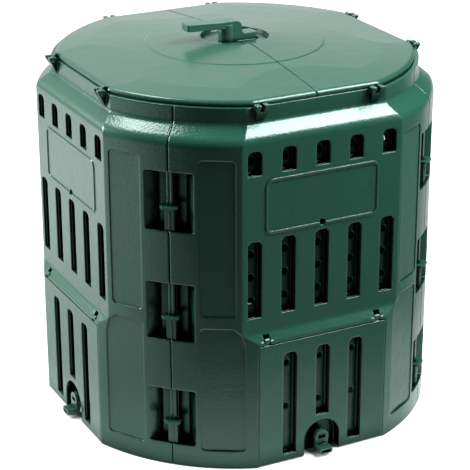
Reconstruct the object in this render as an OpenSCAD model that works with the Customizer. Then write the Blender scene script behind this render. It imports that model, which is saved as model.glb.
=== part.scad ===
// Thermal composter: four equal wall panels clipped together at the corners,
// a hatch at the foot of each flat and a lid in two hinged halves.
// Origin: centre of the footprint, at the ground. +Z is up, and the front panel faces -Y.

/* [Body] */
// Distance from the centre line to the upper flat of a wall panel
flat_a = 380; // [370:1:400]
// Thickness of the moulded wall
wall_t = 5; // [4:0.5:6]
// Height of the straight part of the wall
wall_h = 690; // [680:1:760]
// Height of the rounded shoulder
shoulder_h = 45; // [43:1:60]
// How far the shoulder draws in at a flat
shoulder_flat_in = 27; // [22:1:30]
// How far the shoulder draws in at a corner
shoulder_corner_in = 34; // [30:1:38]
// How much higher the shoulder begins on a flat than on a corner
shoulder_flat_lift = 3; // [1:0.5:5]
// Outer rounding at the foot of the shoulder
shoulder_r = 26; // [20:1:28]
// Hollow rounding where the shoulder meets the collar
collar_r_in = 12; // [8:1:14]
// Height of the upright collar that carries the lid
collar_h = 27; // [24:1:40]
// Width of the ledge at the top of the collar
rim_ledge_w = 15; // [12:1:20]
// Thickness of the ledges and flanges
ledge_t = 4; // [3:0.5:5]
// Gap between two neighbouring wall panels
seam_gap = 0.8; // [0.4:0.1:0.9]
// Half width of the groove that runs along a seam
seam_groove_w = 1.6; // [1.2:0.1:2.5]
// Depth of the groove that runs along a seam
seam_groove_d = 1.5; // [1:0.1:2]
// Depth of the stiffening flange inside a panel edge
edge_flange_d = 18; // [14:1:22]

/* [Ventilation slots] */
// Number of slot columns on an upper flat
slot_columns = 5; // [3:2:5]
// Distance between slot columns
slot_pitch = 75.6; // [70:0.1:78]
// Width of a slot
slot_w = 31.5; // [26:0.5:34]
// Radius of the top corners of a slot
slot_corner_r = 11; // [6:1:12]
// Depth of a slot pocket
slot_depth = 18; // [14:1:24]
// Wall of a slot pocket
slot_t = 3; // [2.5:0.5:4]
// Rise of the sloping ledge at the foot of a slot
slot_ledge = 1.5; // [1:0.5:4]
// Foot of the short slots
short_slot_z = 632; // [625:1:640]
// Height of a short slot
short_slot_h = 50; // [40:1:52]
// Foot of the long slots
long_slot_z = 332; // [325:1:345]
// Height of a long slot
long_slot_h = 164; // [150:1:170]
// Diameter of a vent hole in an upper slot
vent_d = 16; // [12:0.5:17]
// Distance between the vent holes of a long slot
vent_pitch = 50; // [40:1:52]
// Distance from the top of a slot to its first vent hole
vent_drop = 33; // [28:1:40]

/* [Label frame and corner fields] */
// Width of the raised label frame
label_w = 256; // [240:1:264]
// Height of the raised label frame
label_h = 114; // [100:1:117]
// Height of the frame's middle above the ground
label_z = 564; // [561:0.5:567]
// Width of the frame's bead
bead_w = 5; // [3:0.5:6]
// How far the bead stands out
bead_h = 1.8; // [1:0.2:3]
// Diameter of the hole in the middle of the frame's lower side
frame_hole_d = 13; // [8:1:15]
// Distance from a seam to the inner edge of a corner field
field_in = 61; // [58:1:66]
// Depth of a corner field at its edges
field_d = 1.6; // [1:0.2:2]

/* [Seam recesses and clips] */
// Heights of the middles of the three recesses
recess_z = [110, 343, 577];
// Width of a recess across the seam
recess_w = 108; // [100:1:110]
// Width of a recess at its floor
recess_floor_w = 56; // [52:1:66]
// Height of a recess
recess_h = 124; // [116:1:130]
// Depth of a recess
recess_depth = 28; // [25:1:32]
// Radius of the corners of a recess
recess_r = 10; // [6:1:12]
// Thickness of one joining flange
flange_t = 3.4; // [3:0.1:5]
// How far the head of a joining flange stands out sideways
flange_head = 3.2; // [2.5:0.1:4]
// Depth of the head of a joining flange
flange_head_d = 6; // [5:0.5:8]
// Distance from the wall's outside to the joining flange's face
flange_sink = 8; // [7:0.5:11]
// Height of a clip
clip_h = 49; // [40:1:52]
// Wall of a clip
clip_t = 3; // [2.4:0.1:3.6]
// Width of the thumb plate on a clip
clip_plate_w = 36; // [32:1:40]
// Thickness of the thumb plate on a clip
clip_plate_t = 4; // [3:0.5:5]
// How far the thumb plate stands out beyond the wall
clip_plate_out = 7; // [4:0.5:9]

/* [Hatches] */
// Width of a hatch opening in the outline, between the corner sections
hatch_w = 296; // [286:1:306]
// How far the hatch stands out beyond the upper flat
hatch_step = 13; // [10:1:16]
// Height at which the flare over a hatch begins
flare_z = 275; // [268:1:282]
// Height of the flare over a hatch
flare_h = 30; // [24:1:36]
// Rounding at the foot of the flare
flare_r = 12; // [10:0.5:14]
// Hollow rounding at the top of the flare
flare_r_in = 20; // [14:1:26]
// Thickness of the hatch plate
hatch_t = 4; // [3:0.5:5]
// Depth of the rim round the back of a hatch
hatch_rim_d = 13; // [10:0.5:14]
// Gap beside and under a hatch
hatch_gap = 1; // [0.6:0.1:1.6]
// Depth of the rebate that the hatch closes into
rebate_d = 15; // [14:0.5:18]
// Thickness of the hatch frame
frame_t = 4; // [3:0.5:5]
// Width of the hatch frame's side members
frame_w = 20; // [16:1:24]
// Height of the hatch frame's sill
sill_h = 10; // [7:0.5:10.5]
// Distance between the slots of a hatch
hatch_slot_pitch = 76.4; // [72:0.1:80]
// Depth of a hatch slot
hatch_slot_depth = 17; // [13:1:24]
// Foot of the two outer hatch slots
hatch_slot_z = 16; // [15:1:22]
// Foot of the middle hatch slot
hatch_mid_slot_z = 89; // [84:1:96]
// Top of the hatch slots
hatch_slot_top = 248; // [240:1:252]
// Diameter of a vent hole in a hatch slot
hatch_vent_d = 13; // [9:0.5:14]
// Distance from the top of a hatch slot to its first vent hole
hatch_vent_drop = 31; // [26:1:38]
// Distance between the two vent holes of a hatch slot
hatch_vent_pitch = 98; // [90:1:104]
// Distance of a hatch hinge from the side of the hatch
hinge_in = 20; // [18:1:24]
// Diameter of a hatch hinge pin
hinge_pin_d = 6; // [5:0.5:6.5]
// Length of a hatch hinge pin
hinge_pin_len = 27; // [25:1:30]
// Width of a hatch hinge lug
hinge_lug_w = 12; // [10:0.5:13]

/* [Latches] */
// Half width of the arched recess round a latch
arch_w = 41.6; // [38:0.2:44]
// Height of the middle of the arch, and of the latch's axis
arch_z = 36; // [34:1:37]
// Depth of the arched recess
arch_d = 22; // [18:1:23]
// Diameter of the latch's shaft
latch_shaft_d = 12; // [10:0.5:14]
// Radius of the latch's face plate
latch_r = 16; // [14:0.5:18]
// How far the latch's face stands out from the floor of its recess
latch_out = 22; // [18:0.5:24]
// Thickness of the latch's face plate
latch_t = 9; // [7:0.5:11]
// Radius of the latch's neck
latch_neck_r = 9.5; // [8:0.5:11]
// Length of the latch's grip, outwards
latch_grip_len = 42; // [34:1:46]
// Thickness of the latch's grip
latch_grip_t = 12; // [10:0.5:13]
// Width of the latch's grip
latch_grip_w = 29; // [24:1:30]
// Length of the cam behind the hatch
cam_len = 29; // [27:0.5:30]
// Width of the cam
cam_w = 12; // [10:0.5:13]
// Thickness of the cam
cam_t = 4; // [3:0.5:5]

/* [Lid] */
// How far the lid's flat side lies inside the collar's
lid_inset = 3; // [2:0.5:5]
// How far the lid's rounded corner lies inside the collar's
lid_corner_inset = 9; // [5:1:11]
// Thickness of the lid
lid_t = 4; // [3:0.5:5]
// Height of the lid's rounded rim
lid_rim_h = 11; // [9:0.5:14]
// Rounding of the lid's rim
lid_rim_r = 8; // [6:0.5:9]
// Radius at which the shallow crown begins
crown_r = 312; // [300:1:325]
// Height of the crown's foot above the rim's top
crown_foot = 7; // [5:0.5:9]
// Rise of the crown to the middle of the lid
crown_h = 22; // [18:1:26]
// Slope of the lid's planes over the flats, in degrees
lid_slope = 6.3; // [5.5:0.1:7]
// Radius of the fine ring on the crown
ring_r = 186; // [170:1:200]
// Step of the fine ring on the crown
ring_h = 1.2; // [0.8:0.1:2]
// Gap between the two lid halves
lid_gap = 2; // [1.2:0.1:2.4]
// Gap between the lid and the collar's rim
lid_seat_gap = 0.3; // [0.2:0.05:0.5]
// Depth of the stiffening flange along the lid's parting line
lid_flange_d = 15; // [10:1:18]
// Radius of the round recess in the middle of the lid
dish_r = 72; // [70:1:76]
// Depth of the round recess at the middle of the lid
dish_d = 12; // [10:0.5:14]
// Distance of a lid hinge from the middle of its side
lid_hinge_u = 128; // [120:1:130]
// Diameter of a lid hinge pin
lid_pin_d = 6; // [5:0.5:6.5]
// Width of a lid ear
ear_w = 8.4; // [7:0.2:9]

/* [Brackets on the collar] */
// Width of a bracket at its top
bracket_w = 26; // [24:1:30]
// Width of a bracket at its foot
bracket_foot_w = 15; // [10:1:18]
// How far a bracket stands out from the collar
bracket_out = 19; // [18:0.5:20]
// How far a bracket stands above the collar's ledge
bracket_rise = 7; // [5:0.5:8]
// Height of a bracket
bracket_h = 38; // [34:1:42]

/* [Handle] */
// Distance of the handle's pivot from the parting line
pivot_x = 19; // [18.5:0.5:20]
// Radius of the handle's hub
hub_r = 17; // [15:0.5:17.5]
// Width of the handle
handle_w = 30; // [26:1:30]
// Length of the handle's arm, from the pivot
arm_len = 97; // [85:1:110]
// Thickness of the handle's arm
arm_t = 15; // [12:1:16]
// Height of the arm's top above the floor of the recess
arm_rise = 43; // [40:1:48]
// How far the arm rises towards its end
arm_lift = 4; // [0:1:8]
// Reach of the foot beyond the parting line
foot_reach = 46; // [42:0.5:47]
// Thickness of the foot
foot_t = 14; // [10:1:15]
// Radius of the foot's corners
foot_corner_r = 6; // [5:0.5:8]
// Diameter of the handle's pivot stud
stud_d = 12; // [10:0.5:14]
// Gap round the foot where it crosses the other half of the lid
foot_gap = 4.8; // [4.5:0.1:6]

/* [Fits] */
// Radial clearance of a pin or shaft that turns
run_fit = 0.05; // [0.03:0.01:0.1]
// Radial clearance of a pin that is held
hold_fit = 0.02; // [0.01:0.01:0.03]
// Gap between faces that slide or swing past each other
slide_gap = 0.3; // [0.2:0.05:0.5]

/* [Hidden] */
$fn = 96;
eps = 0.5;
far = 700;
arc_steps = 5;
side_turn = [0, 90, 180, 270];
seam_turn = [45, 135, 225, 315];

green = [0.16, 0.33, 0.26];
light_green = [0.24, 0.43, 0.35];
steel = [0.62, 0.63, 0.64];

// Outline distances from the centre line
hatch_a = flat_a + hatch_step;
wall_r = norm([hatch_a, hatch_w / 2]);
collar_a = flat_a - shoulder_flat_in;
collar_r = wall_r - shoulder_corner_in;
collar_z = wall_h + shoulder_h;
rim_z = collar_z + collar_h;
frame_a = hatch_a - rebate_d;
hinge_u = hatch_w / 2 - hinge_in;

// Slope of a double bend that draws in by s over height h, with rr the sum of its two roundings
function bend_slope(s, h, rr) = atan2(h, rr - s) - acos(rr / norm([rr - s, h]));

// Points of a double bend from distance d at height z0, drawn in by s at z1, for a surface set o inside the outer one
function bend(d, s, o, z0, z1, ro, ri) = let (a = bend_slope(s, z1 - z0, ro + ri)) concat(
  [for (i = [0:arc_steps]) let (t = a * i / arc_steps) [d - o - (ro - o) * (1 - cos(t)), z0 + (ro - o) * sin(t)]],
  [for (i = [0:arc_steps]) let (t = a * (1 - i / arc_steps))
    [d - s - o + (ri + o) * (1 - cos(t)), z1 - (ri + o) * sin(t)]]);
function shoulder(d, s, o, z) = bend(d, s, o, z, collar_z, shoulder_r, collar_r_in);

// Points of an arc round [x, y] from angle a0 to a1
function arc(x, y, r, a0, a1, n = arc_steps) =
  [for (i = [0:n]) let (a = a0 + (a1 - a0) * i / n) [x + r * cos(a), y + r * sin(a)]];

// An outline in width and height, made solid between two distances from the centre line
module out(d0, d1) rotate([90, 0, 0]) translate([0, 0, d0]) linear_extrude(d1 - d0) children();

// A profile in distance and height, made solid between two places along the flat
module along(u0, u1) rotate([90, 0, -90]) translate([0, 0, -u1]) linear_extrude(u1 - u0) children();

// A block between two places along the flat, two distances and two heights
module block(u0, u1, d0, d1, z0, z1) translate([u0, -d1, z0]) cube([u1 - u0, d1 - d0, z1 - z0]);

// The wall's outline over a corner and over a flat, set o inside the outside
function corner_line(o, z0, z1) =
  concat([[wall_r - o, z0]], shoulder(wall_r, shoulder_corner_in, o, wall_h), [[collar_r - o, z1]]);
function flat_line(o, z0, z1) = concat([[hatch_a - o, z0]],
  bend(hatch_a, hatch_step, o, flare_z, flare_z + flare_h, flare_r, flare_r_in),
  shoulder(flat_a, shoulder_flat_in, o, wall_h + shoulder_flat_lift), [[collar_a - o, z1]]);
function backwards(v) = [for (i = [len(v) - 1:-1:0]) v[i]];

// A profile turned round the centre line, over a little more than one panel
module turned_out() rotate([0, 0, -138]) rotate_extrude(angle = 96, $fn = 180) children();

// The wall's form, solid to the centre line, as one flat sees it
module wall_form(z0, z1) intersection() {
  turned_out() polygon(concat([[0, z0]], corner_line(0, z0, z1), [[0, z1]]));
  along(-far, far) polygon(concat([[0, z0]], flat_line(0, z0, z1), [[0, z1]]));
}

// A skin of the wall's form, from its outside to o inside it
module wall_skin(o) {
  intersection() {
    turned_out() polygon(concat(corner_line(0, 0, rim_z), backwards(corner_line(o, 0, rim_z))));
    along(-far, far) polygon(concat([[0, 0]], flat_line(0, 0, rim_z), [[0, rim_z]]));
  }
  intersection() {
    along(-far, far) polygon(concat(flat_line(0, 0, rim_z), backwards(flat_line(o, 0, rim_z))));
    turned_out() polygon(concat([[0, 0]], corner_line(0, 0, rim_z), [[0, rim_z]]));
  }
}

// A level ledge of width w round a corner of radius r and a flat at distance a
module ledge(r, a, w, z0, z1) translate([0, 0, z0]) linear_extrude(z1 - z0) difference() {
  intersection() {
    circle(r);
    translate([-far, -a]) square([2 * far, a]);
  }
  intersection() {
    circle(r - w);
    translate([-far, -a + w]) square([2 * far, far]);
  }
}

// The quarter that one panel takes, less half a seam gap at each side
module quarter(z0, z1) {
  g = seam_gap / sqrt(2);
  translate([0, 0, z0]) linear_extrude(z1 - z0) polygon([[0, -g], [far, -far - g], [-far, -far - g]]);
}

// A strip beside the seam at side s, between two distances from the seam's plane
module seam_strip(s, t0, t1) rotate([0, 0, 45 * s])
  block(s > 0 ? -t1 : t0, s > 0 ? -t0 : t1, collar_a / 2, far, -1, rim_z + 1);

// The groove along a seam, on the side of s
module seam_groove(s) along(s > 0 ? -seam_groove_w : -1, s > 0 ? 1 : seam_groove_w)
  polygon(concat([[far, -1]], corner_line(seam_groove_d, -1, rim_z + 1), [[far, rim_z + 1]]));

// A slot's outline with a square foot and rounded top corners
module slot_outline(w, z0, z1, r) {
  translate([-w / 2, z0]) square([w, z1 - z0 - r]);
  translate([-w / 2 + r, z0]) square([w - 2 * r, z1 - z0]);
  for (s = [-1, 1]) translate([s * (w / 2 - r), z1 - r]) circle(r, $fn = 48);
}

// A slot pocket's outer shell, behind a plate of thickness t with its face at distance a
module pocket_shell(u, z0, z1, a, t, depth) translate([u, 0, 0])
  out(a - depth - slot_t, a - t)
    slot_outline(slot_w + 2 * slot_t, z0 - slot_t, z1 + slot_t, slot_corner_r + slot_t);

// The space inside a slot pocket, with a foot that slopes down to the outside
module pocket_space(u, z0, z1, a, depth) translate([u, 0, 0]) difference() {
  out(a - depth, a + 1) slot_outline(slot_w, z0, z1, slot_corner_r);
  along(-slot_w, slot_w) polygon([[a, z0], [a - depth, z0 + slot_ledge], [a - depth - 1, z0 + slot_ledge],
    [a - depth - 1, z0 - 1], [a, z0 - 1]]);
}

// A vent hole through a pocket's floor
module vent(u, z, a, depth, d) translate([u, 0, z]) out(a - depth - slot_t - 1, a - depth + 1) circle(d = d);

slot_us = [for (i = [0:slot_columns - 1]) (i - (slot_columns - 1) / 2) * slot_pitch];
short_slot_top = short_slot_z + short_slot_h;
long_slot_top = long_slot_z + long_slot_h;

module upper_slots() for (u = slot_us) {
  pocket_space(u, short_slot_z, short_slot_top, flat_a, slot_depth);
  pocket_space(u, long_slot_z, long_slot_top, flat_a, slot_depth);
}

// The ten slot pockets behind the upper flat
module vent_pockets() for (u = slot_us) {
  difference() {
    pocket_shell(u, short_slot_z, short_slot_top, flat_a, wall_t, slot_depth);
    pocket_space(u, short_slot_z, short_slot_top, flat_a, slot_depth);
    vent(u, short_slot_z + short_slot_h * 0.52, flat_a, slot_depth, vent_d);
  }
  difference() {
    pocket_shell(u, long_slot_z, long_slot_top, flat_a, wall_t, slot_depth);
    pocket_space(u, long_slot_z, long_slot_top, flat_a, slot_depth);
    for (i = [0:2]) vent(u, long_slot_top - vent_drop - i * vent_pitch, flat_a, slot_depth, vent_d);
  }
}

// A rounded rectangle round a middle height
module round_rect(w, h, z, r) translate([0, z]) {
  square([w - 2 * r, h], center = true);
  square([w, h - 2 * r], center = true);
  for (x = [-1, 1], y = [-1, 1]) translate([x * (w / 2 - r), y * (h / 2 - r)]) circle(r, $fn = 48);
}

label_r = 16;

module label_bead() {
  out(flat_a - eps, flat_a + bead_h) difference() {
    round_rect(label_w, label_h, label_z, label_r);
    round_rect(label_w - 2 * bead_w, label_h - 2 * bead_w, label_z, label_r - bead_w);
  }
}

module frame_hole() translate([0, 0, label_z - label_h / 2 + bead_w])
  out(flat_a - wall_t - 1, flat_a + bead_h + 1) circle(d = frame_hole_d);

// Corner fields: sunk flat areas on both sides of a seam recess
upper_edge_angle = acos(flat_a / wall_r);
lower_edge_angle = acos(hatch_a / wall_r);
degree_len = wall_r * PI / 180;
upper_field_out = (45 - upper_edge_angle) * degree_len - 12;
lower_field_out = (45 - lower_edge_angle) * degree_len - 26;
upper_field_z = [339, 667];
lower_field_z = [40, 313];
field_r = 9;
field_cut_h = 42;
field_cut_w = 25;

// Outline of a field from its seam side at -w/2 to its outer side at w/2
module upper_field_outline(w) round_rect(w, upper_field_z[1] - upper_field_z[0],
  (upper_field_z[0] + upper_field_z[1]) / 2, field_r);

module lower_field_outline(w) polygon(concat(
  arc(w / 2 - field_r, lower_field_z[0] + field_r, field_r, -90, 0),
  [[w / 2, lower_field_z[1] - field_cut_h], [w / 2 - field_cut_w * 0.35, lower_field_z[1] - field_cut_h * 0.3],
    [w / 2 - field_cut_w, lower_field_z[1]]],
  arc(-w / 2 + field_r, lower_field_z[1] - field_r, field_r, 90, 180),
  arc(-w / 2 + field_r, lower_field_z[0] + field_r, field_r, 180, 270)));

// Places a field on side s of the panel: t0 and t1 are its edges, measured round the wall from the seam
module place_field(s, t0, t1) mirror([s > 0 ? 0 : 1, 0, 0]) rotate([0, 0, 45 - (t0 + t1) / 2 / degree_len])
  children();

function field_floor(w) = (wall_r - field_d) * cos(w / 2 / degree_len);

module field_cut(s, t0, t1, lower) {
  w = t1 - t0;
  place_field(s, t0, t1) out(field_floor(w), wall_r + 10) mirror([1, 0, 0])
    if (lower) lower_field_outline(w); else upper_field_outline(w);
}

module field_back(s, t0, t1, z) {
  w = t1 - t0;
  place_field(s, t0, t1) out(field_floor(w) - ledge_t, field_floor(w) + 1)
    translate([-w / 2 - 2, z[0] - 2]) square([w + 4, z[1] - z[0] + 4]);
}

// Seam recess: a bay with sloping sides across the seam, centred on the seam's direction
recess_a = wall_r - recess_depth;
recess_slope = (recess_w - recess_floor_w) / 2 / recess_depth;

// The recess from above, grown by o, from its floor to distance d1
module recess_plan(o, d1) {
  w = recess_floor_w / 2 + o;
  e = recess_slope * (d1 - recess_a + o);
  polygon([[-w, -(recess_a - o)], [w, -(recess_a - o)], [w + e, -d1], [-w - e, -d1]]);
}

module recess_space(z) intersection() {
  translate([0, 0, z - recess_h / 2]) linear_extrude(recess_h) recess_plan(0, wall_r + 20);
  out(recess_a - 1, wall_r + 10) round_rect(recess_w, recess_h, z, recess_r);
}

module recess_shell(z) translate([0, 0, z - recess_h / 2 - ledge_t])
  linear_extrude(recess_h + 2 * ledge_t) recess_plan(ledge_t, wall_r + 6);

// One joining flange: a stem with a head that the clip's lips hook behind, at side s of the panel
flange_face = wall_r - flange_sink;
flange_head_t = flange_t + flange_head;

module joining_flange(s, z) {
  rotate([0, 0, 45 * s]) mirror([s > 0 ? 1 : 0, 0, 0]) {
    block(seam_gap / 2, flange_t, recess_a - 1, flange_face, z - recess_h / 2 - 1, z + recess_h / 2 + 1);
    block(seam_gap / 2, flange_head_t, flange_face - flange_head_d, flange_face,
      z - recess_h / 2 - 1, z + recess_h / 2 + 1);
  }
}

// Bracket on the collar: a wedge with a slot for a lid ear and a bore for its pin
bracket_top = rim_z + bracket_rise;
lid_axis_a = collar_a + bracket_out / 2;
lid_axis_z = bracket_top - 8;
ear_r = 5.25;
bracket_slot_w = ear_w + 2 * slide_gap;

module bracket(u) translate([u, 0, 0]) difference() {
  intersection() {
    along(-bracket_w / 2, bracket_w / 2) polygon([[collar_a - 2, bracket_top - bracket_h],
      [collar_a, bracket_top - bracket_h], [collar_a + bracket_out, bracket_top - 4],
      [collar_a + bracket_out, bracket_top], [collar_a + 4, bracket_top],
      [collar_a, bracket_top - 4], [collar_a - 2, bracket_top - 4]]);
    out(collar_a - 3, far) polygon([[-bracket_foot_w / 2, bracket_top - bracket_h - 1],
      [bracket_foot_w / 2, bracket_top - bracket_h - 1], [bracket_w / 2, bracket_top - 6],
      [bracket_w / 2, bracket_top + 1], [-bracket_w / 2, bracket_top + 1], [-bracket_w / 2, bracket_top - 6]]);
  }
  block(-bracket_slot_w / 2, bracket_slot_w / 2, collar_a, far, lid_axis_z - ear_r - 2, bracket_top + 1);
  block(-far, far, 0, collar_a, rim_z, bracket_top + 1);
  translate([0, -lid_axis_a, lid_axis_z]) rotate([0, 90, 0])
    cylinder(r = lid_pin_d / 2 + hold_fit, h = bracket_w + 2, center = true);
}

// Hatch frame with its rebate, sill and hinge seats
hinge_a = hatch_a - 6;
hinge_z = flare_z + 6;
hatch_half = hatch_w / 2;
jamb_t = ledge_t;
cheek_w = (hinge_pin_len - hinge_lug_w) / 2 - 1;
notch_w = hinge_lug_w + 2;
notch_top = hinge_z + 13;
arch_out = arch_w + slot_t;
sill_bay = arch_out + 5;
arch_floor_a = hatch_a - arch_d;
sill_bar_a = arch_floor_a - hatch_t - 5;
sill_bar_t = 6;

sill_top = hatch_slot_top + slot_t + 5;

// The frame's head and its jambs beside the hatch
module hatch_frame() {
  block(-hatch_half - jamb_t, hatch_half + jamb_t, frame_a - frame_t, frame_a, sill_top, flare_z + flare_h);
  for (s = [-1, 1]) block(s > 0 ? hatch_half : -hatch_half - jamb_t, s > 0 ? hatch_half + jamb_t : -hatch_half,
    frame_a - frame_t, hatch_a, 0, flare_z + flare_h);
}

// The frame's side members and sill, with a bar behind the bay for the latch
module hatch_sill() {
  difference() {
    block(-hatch_half, hatch_half, frame_a - frame_t, frame_a, 0, sill_top);
    block(-hatch_half + frame_w, hatch_half - frame_w, 0, far, sill_h, sill_top + 1);
    block(-sill_bay, sill_bay, 0, far, -1, sill_h + 1);
  }
  difference() {
    block(-sill_bay - frame_t, sill_bay + frame_t, sill_bar_a - sill_bar_t, frame_a, 0, sill_h);
    block(-sill_bay, sill_bay, sill_bar_a, far, -1, sill_h + 1);
  }
}

module hinge_cheeks() for (s = [-1, 1], c = [-1, 1]) translate([s * hinge_u, 0, 0])
  translate([c * (notch_w + cheek_w) / 2, 0, 0])
    block(-cheek_w / 2, cheek_w / 2, frame_a - 1, far, flare_z, flare_z + flare_h - 4);

module hinge_cuts() for (s = [-1, 1]) translate([s * hinge_u, 0, 0]) {
  block(-notch_w / 2, notch_w / 2, frame_a, far, flare_z - 1, notch_top);
  translate([0, -hinge_a, hinge_z]) rotate([0, 90, 0])
    cylinder(r = hinge_pin_d / 2 + hold_fit, h = hinge_pin_len + 2, center = true);
}

// The panel's flat with its ledges, hatch frame, pockets and brackets
module wall_body() {
  difference() {
    union() {
      difference() {
        wall_skin(wall_t);
        block(-hatch_half, hatch_half, frame_a, far, -1, flare_z);
      }
      ledge(collar_r, collar_a, rim_ledge_w, rim_z - ledge_t, rim_z);
      difference() {
        ledge(wall_r, hatch_a, rim_ledge_w, 0, ledge_t);
        block(-hatch_half, hatch_half, 0, far, -1, flare_z);
      }
      // Stiffening flange along both panel edges
      intersection() {
        turned_out() polygon(concat(corner_line(0, 0, rim_z), backwards(corner_line(edge_flange_d, 0, rim_z))));
        union() for (s = [-1, 1]) seam_strip(s, 0, ledge_t);
      }
      intersection() {
        wall_form(0, rim_z);
        union() {
          hatch_frame();
          hinge_cheeks();
          for (s = [-1, 1]) {
            field_back(s, field_in, upper_field_out, upper_field_z);
            field_back(s, field_in, lower_field_out, lower_field_z);
          }
        }
      }
      label_bead();
      for (s = [-1, 1]) bracket(s * lid_hinge_u);
    }
    upper_slots();
  }
}

// One wall panel, as the front one
module wall_panel() {
  intersection() {
    difference() {
      union() {
        difference() {
          wall_body();
          frame_hole();
          hinge_cuts();
        }
        intersection() {
          wall_form(0, rim_z);
          for (s = [-1, 1]) rotate([0, 0, 45 * s]) for (z = recess_z) recess_shell(z);
        }
      }
      for (s = [-1, 1]) {
        field_cut(s, field_in, upper_field_out, false);
        field_cut(s, field_in, lower_field_out, true);
        rotate([0, 0, 45 * s]) for (z = recess_z) recess_space(z);
        rotate([0, 0, 45 * s]) seam_groove(s);
      }
    }
    quarter(-1, rim_z + 10);
  }
  for (s = [-1, 1], z = recess_z) joining_flange(s, z);
}

// Hatch: a plate with a rim, three slots, an arched recess for the latch and two hinge lugs
swing_r = norm([hatch_a - hinge_a, hinge_z - flare_z]) + eps;
hatch_top = hinge_z - swing_r;
hatch_foot = 2;
plate_half = hatch_half - hatch_gap;
lug_r = hinge_pin_d / 2 + 2.5;

module arch_outline(w, z0)
  polygon(concat([[w, z0]], arc(0, arch_z, w, 0, 180, 24), [[-w, z0]]));

module hinge_lug(u) translate([u, 0, 0]) along(-hinge_lug_w / 2, hinge_lug_w / 2) {
  translate([hinge_a, hinge_z]) circle(lug_r);
  polygon([[hatch_a - hatch_t + 1, hatch_top - 18], [hinge_a - 3, hatch_top - 10], [hinge_a - lug_r, hinge_z],
    [hinge_a + lug_r, hinge_z], [hatch_a - hatch_t + 1, hatch_top]]);
}

hatch_slots = [[-hatch_slot_pitch, hatch_slot_z], [0, hatch_mid_slot_z], [hatch_slot_pitch, hatch_slot_z]];

module hatch_panel() difference() {
  union() {
    block(-plate_half, plate_half, hatch_a - hatch_t, hatch_a, hatch_foot, hatch_top);
    difference() {
      block(-plate_half, plate_half, hatch_a - hatch_rim_d, hatch_a, hatch_foot, hatch_top);
      block(-plate_half + hatch_t, plate_half - hatch_t, 0, hatch_a - hatch_t,
        hatch_foot + hatch_t, hatch_top - hatch_t);
    }
    out(arch_floor_a - hatch_t, hatch_a - eps) arch_outline(arch_out, hatch_foot);
    for (s = [-1, 1]) hinge_lug(s * hinge_u);
  }
  for (p = hatch_slots) pocket_space(p[0], p[1], hatch_slot_top, hatch_a, hatch_slot_depth);
  out(arch_floor_a, far) arch_outline(arch_w, hatch_foot - 1);
  out(0, hatch_a) translate([0, arch_z]) circle(r = latch_shaft_d / 2 + run_fit);
  translate([0, -hinge_a, hinge_z]) rotate([0, 90, 0])
    cylinder(r = hinge_pin_d / 2 + run_fit, h = hatch_w, center = true);
}

// The three slot pockets behind a hatch
module hatch_pockets() for (p = hatch_slots) difference() {
  pocket_shell(p[0], p[1], hatch_slot_top, hatch_a, hatch_t, hatch_slot_depth);
  pocket_space(p[0], p[1], hatch_slot_top, hatch_a, hatch_slot_depth);
  for (i = [0, 1]) vent(p[0], hatch_slot_top - hatch_vent_drop - i * hatch_vent_pitch, hatch_a,
    hatch_slot_depth, hatch_vent_d);
}

module hatch_pins() for (s = [-1, 1]) translate([s * hinge_u, -hinge_a, hinge_z]) rotate([0, 90, 0])
  cylinder(d = hinge_pin_d, h = hinge_pin_len, center = true);

// Latch: a face plate with a two-lobed finger hole, a grip that stands out, and a shaft for the cam
latch_back_a = arch_floor_a + slide_gap;
latch_face_a = latch_back_a + latch_out;
latch_plate_a = latch_face_a - latch_t;
cam_hub_a = arch_floor_a - hatch_t - slide_gap;
cam_back_a = sill_bar_a - sill_bar_t - 1 - cam_t;
square_w = latch_shaft_d * 0.6;
grip_z = latch_r + latch_grip_t / 2 + 2;
screw_d = 4;
screw_len = 16;

module latch() translate([0, 0, arch_z]) difference() {
  union() {
    out(latch_back_a, latch_plate_a + 1) circle(latch_neck_r);
    out(latch_plate_a, latch_face_a) {
      circle(latch_r);
      translate([-latch_grip_w / 2, -grip_z]) square([latch_grip_w, grip_z]);
    }
    out(latch_plate_a, latch_back_a + latch_grip_len) difference() {
      translate([-latch_grip_w / 2, -grip_z - latch_grip_t / 2]) square([latch_grip_w, latch_grip_t]);
      for (s = [-1, 1]) translate([s * latch_grip_w / 2, -grip_z - latch_grip_t / 2]) rotate(45)
        square(4, center = true);
    }
    out(cam_hub_a, latch_back_a + 1) circle(d = latch_shaft_d);
    out(cam_back_a + slide_gap, latch_back_a) square(square_w, center = true);
  }
  out(latch_face_a - latch_t * 0.7, far) for (s = [-1, 1]) translate([s * 4, 1]) circle(5, $fn = 48);
  out(latch_plate_a + 4, far) translate([-latch_grip_w / 2 + 4, -grip_z - latch_grip_t / 2 + 3])
    square([latch_grip_w - 8, latch_grip_t - 6]);
  out(0, cam_back_a + screw_len) circle(r = screw_d / 2 + hold_fit);
}

module cam() translate([0, 0, arch_z]) difference() {
  union() {
    out(cam_back_a, cam_back_a + cam_t) {
      translate([-cam_len + cam_w / 2, -cam_w / 2]) square([cam_len - cam_w / 2, cam_w]);
      translate([-cam_len + cam_w / 2, 0]) circle(cam_w / 2);
    }
    out(cam_back_a, cam_hub_a) circle(cam_w * 0.75);
  }
  out(0, cam_hub_a + 1) square(square_w + 2 * run_fit, center = true);
}

module cam_screw() translate([0, 0, arch_z]) {
  out(cam_back_a - 3, cam_back_a) circle(d = square_w * sqrt(2) + 3);
  out(cam_back_a - eps, cam_back_a + screw_len - 1) circle(d = screw_d);
}

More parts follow.
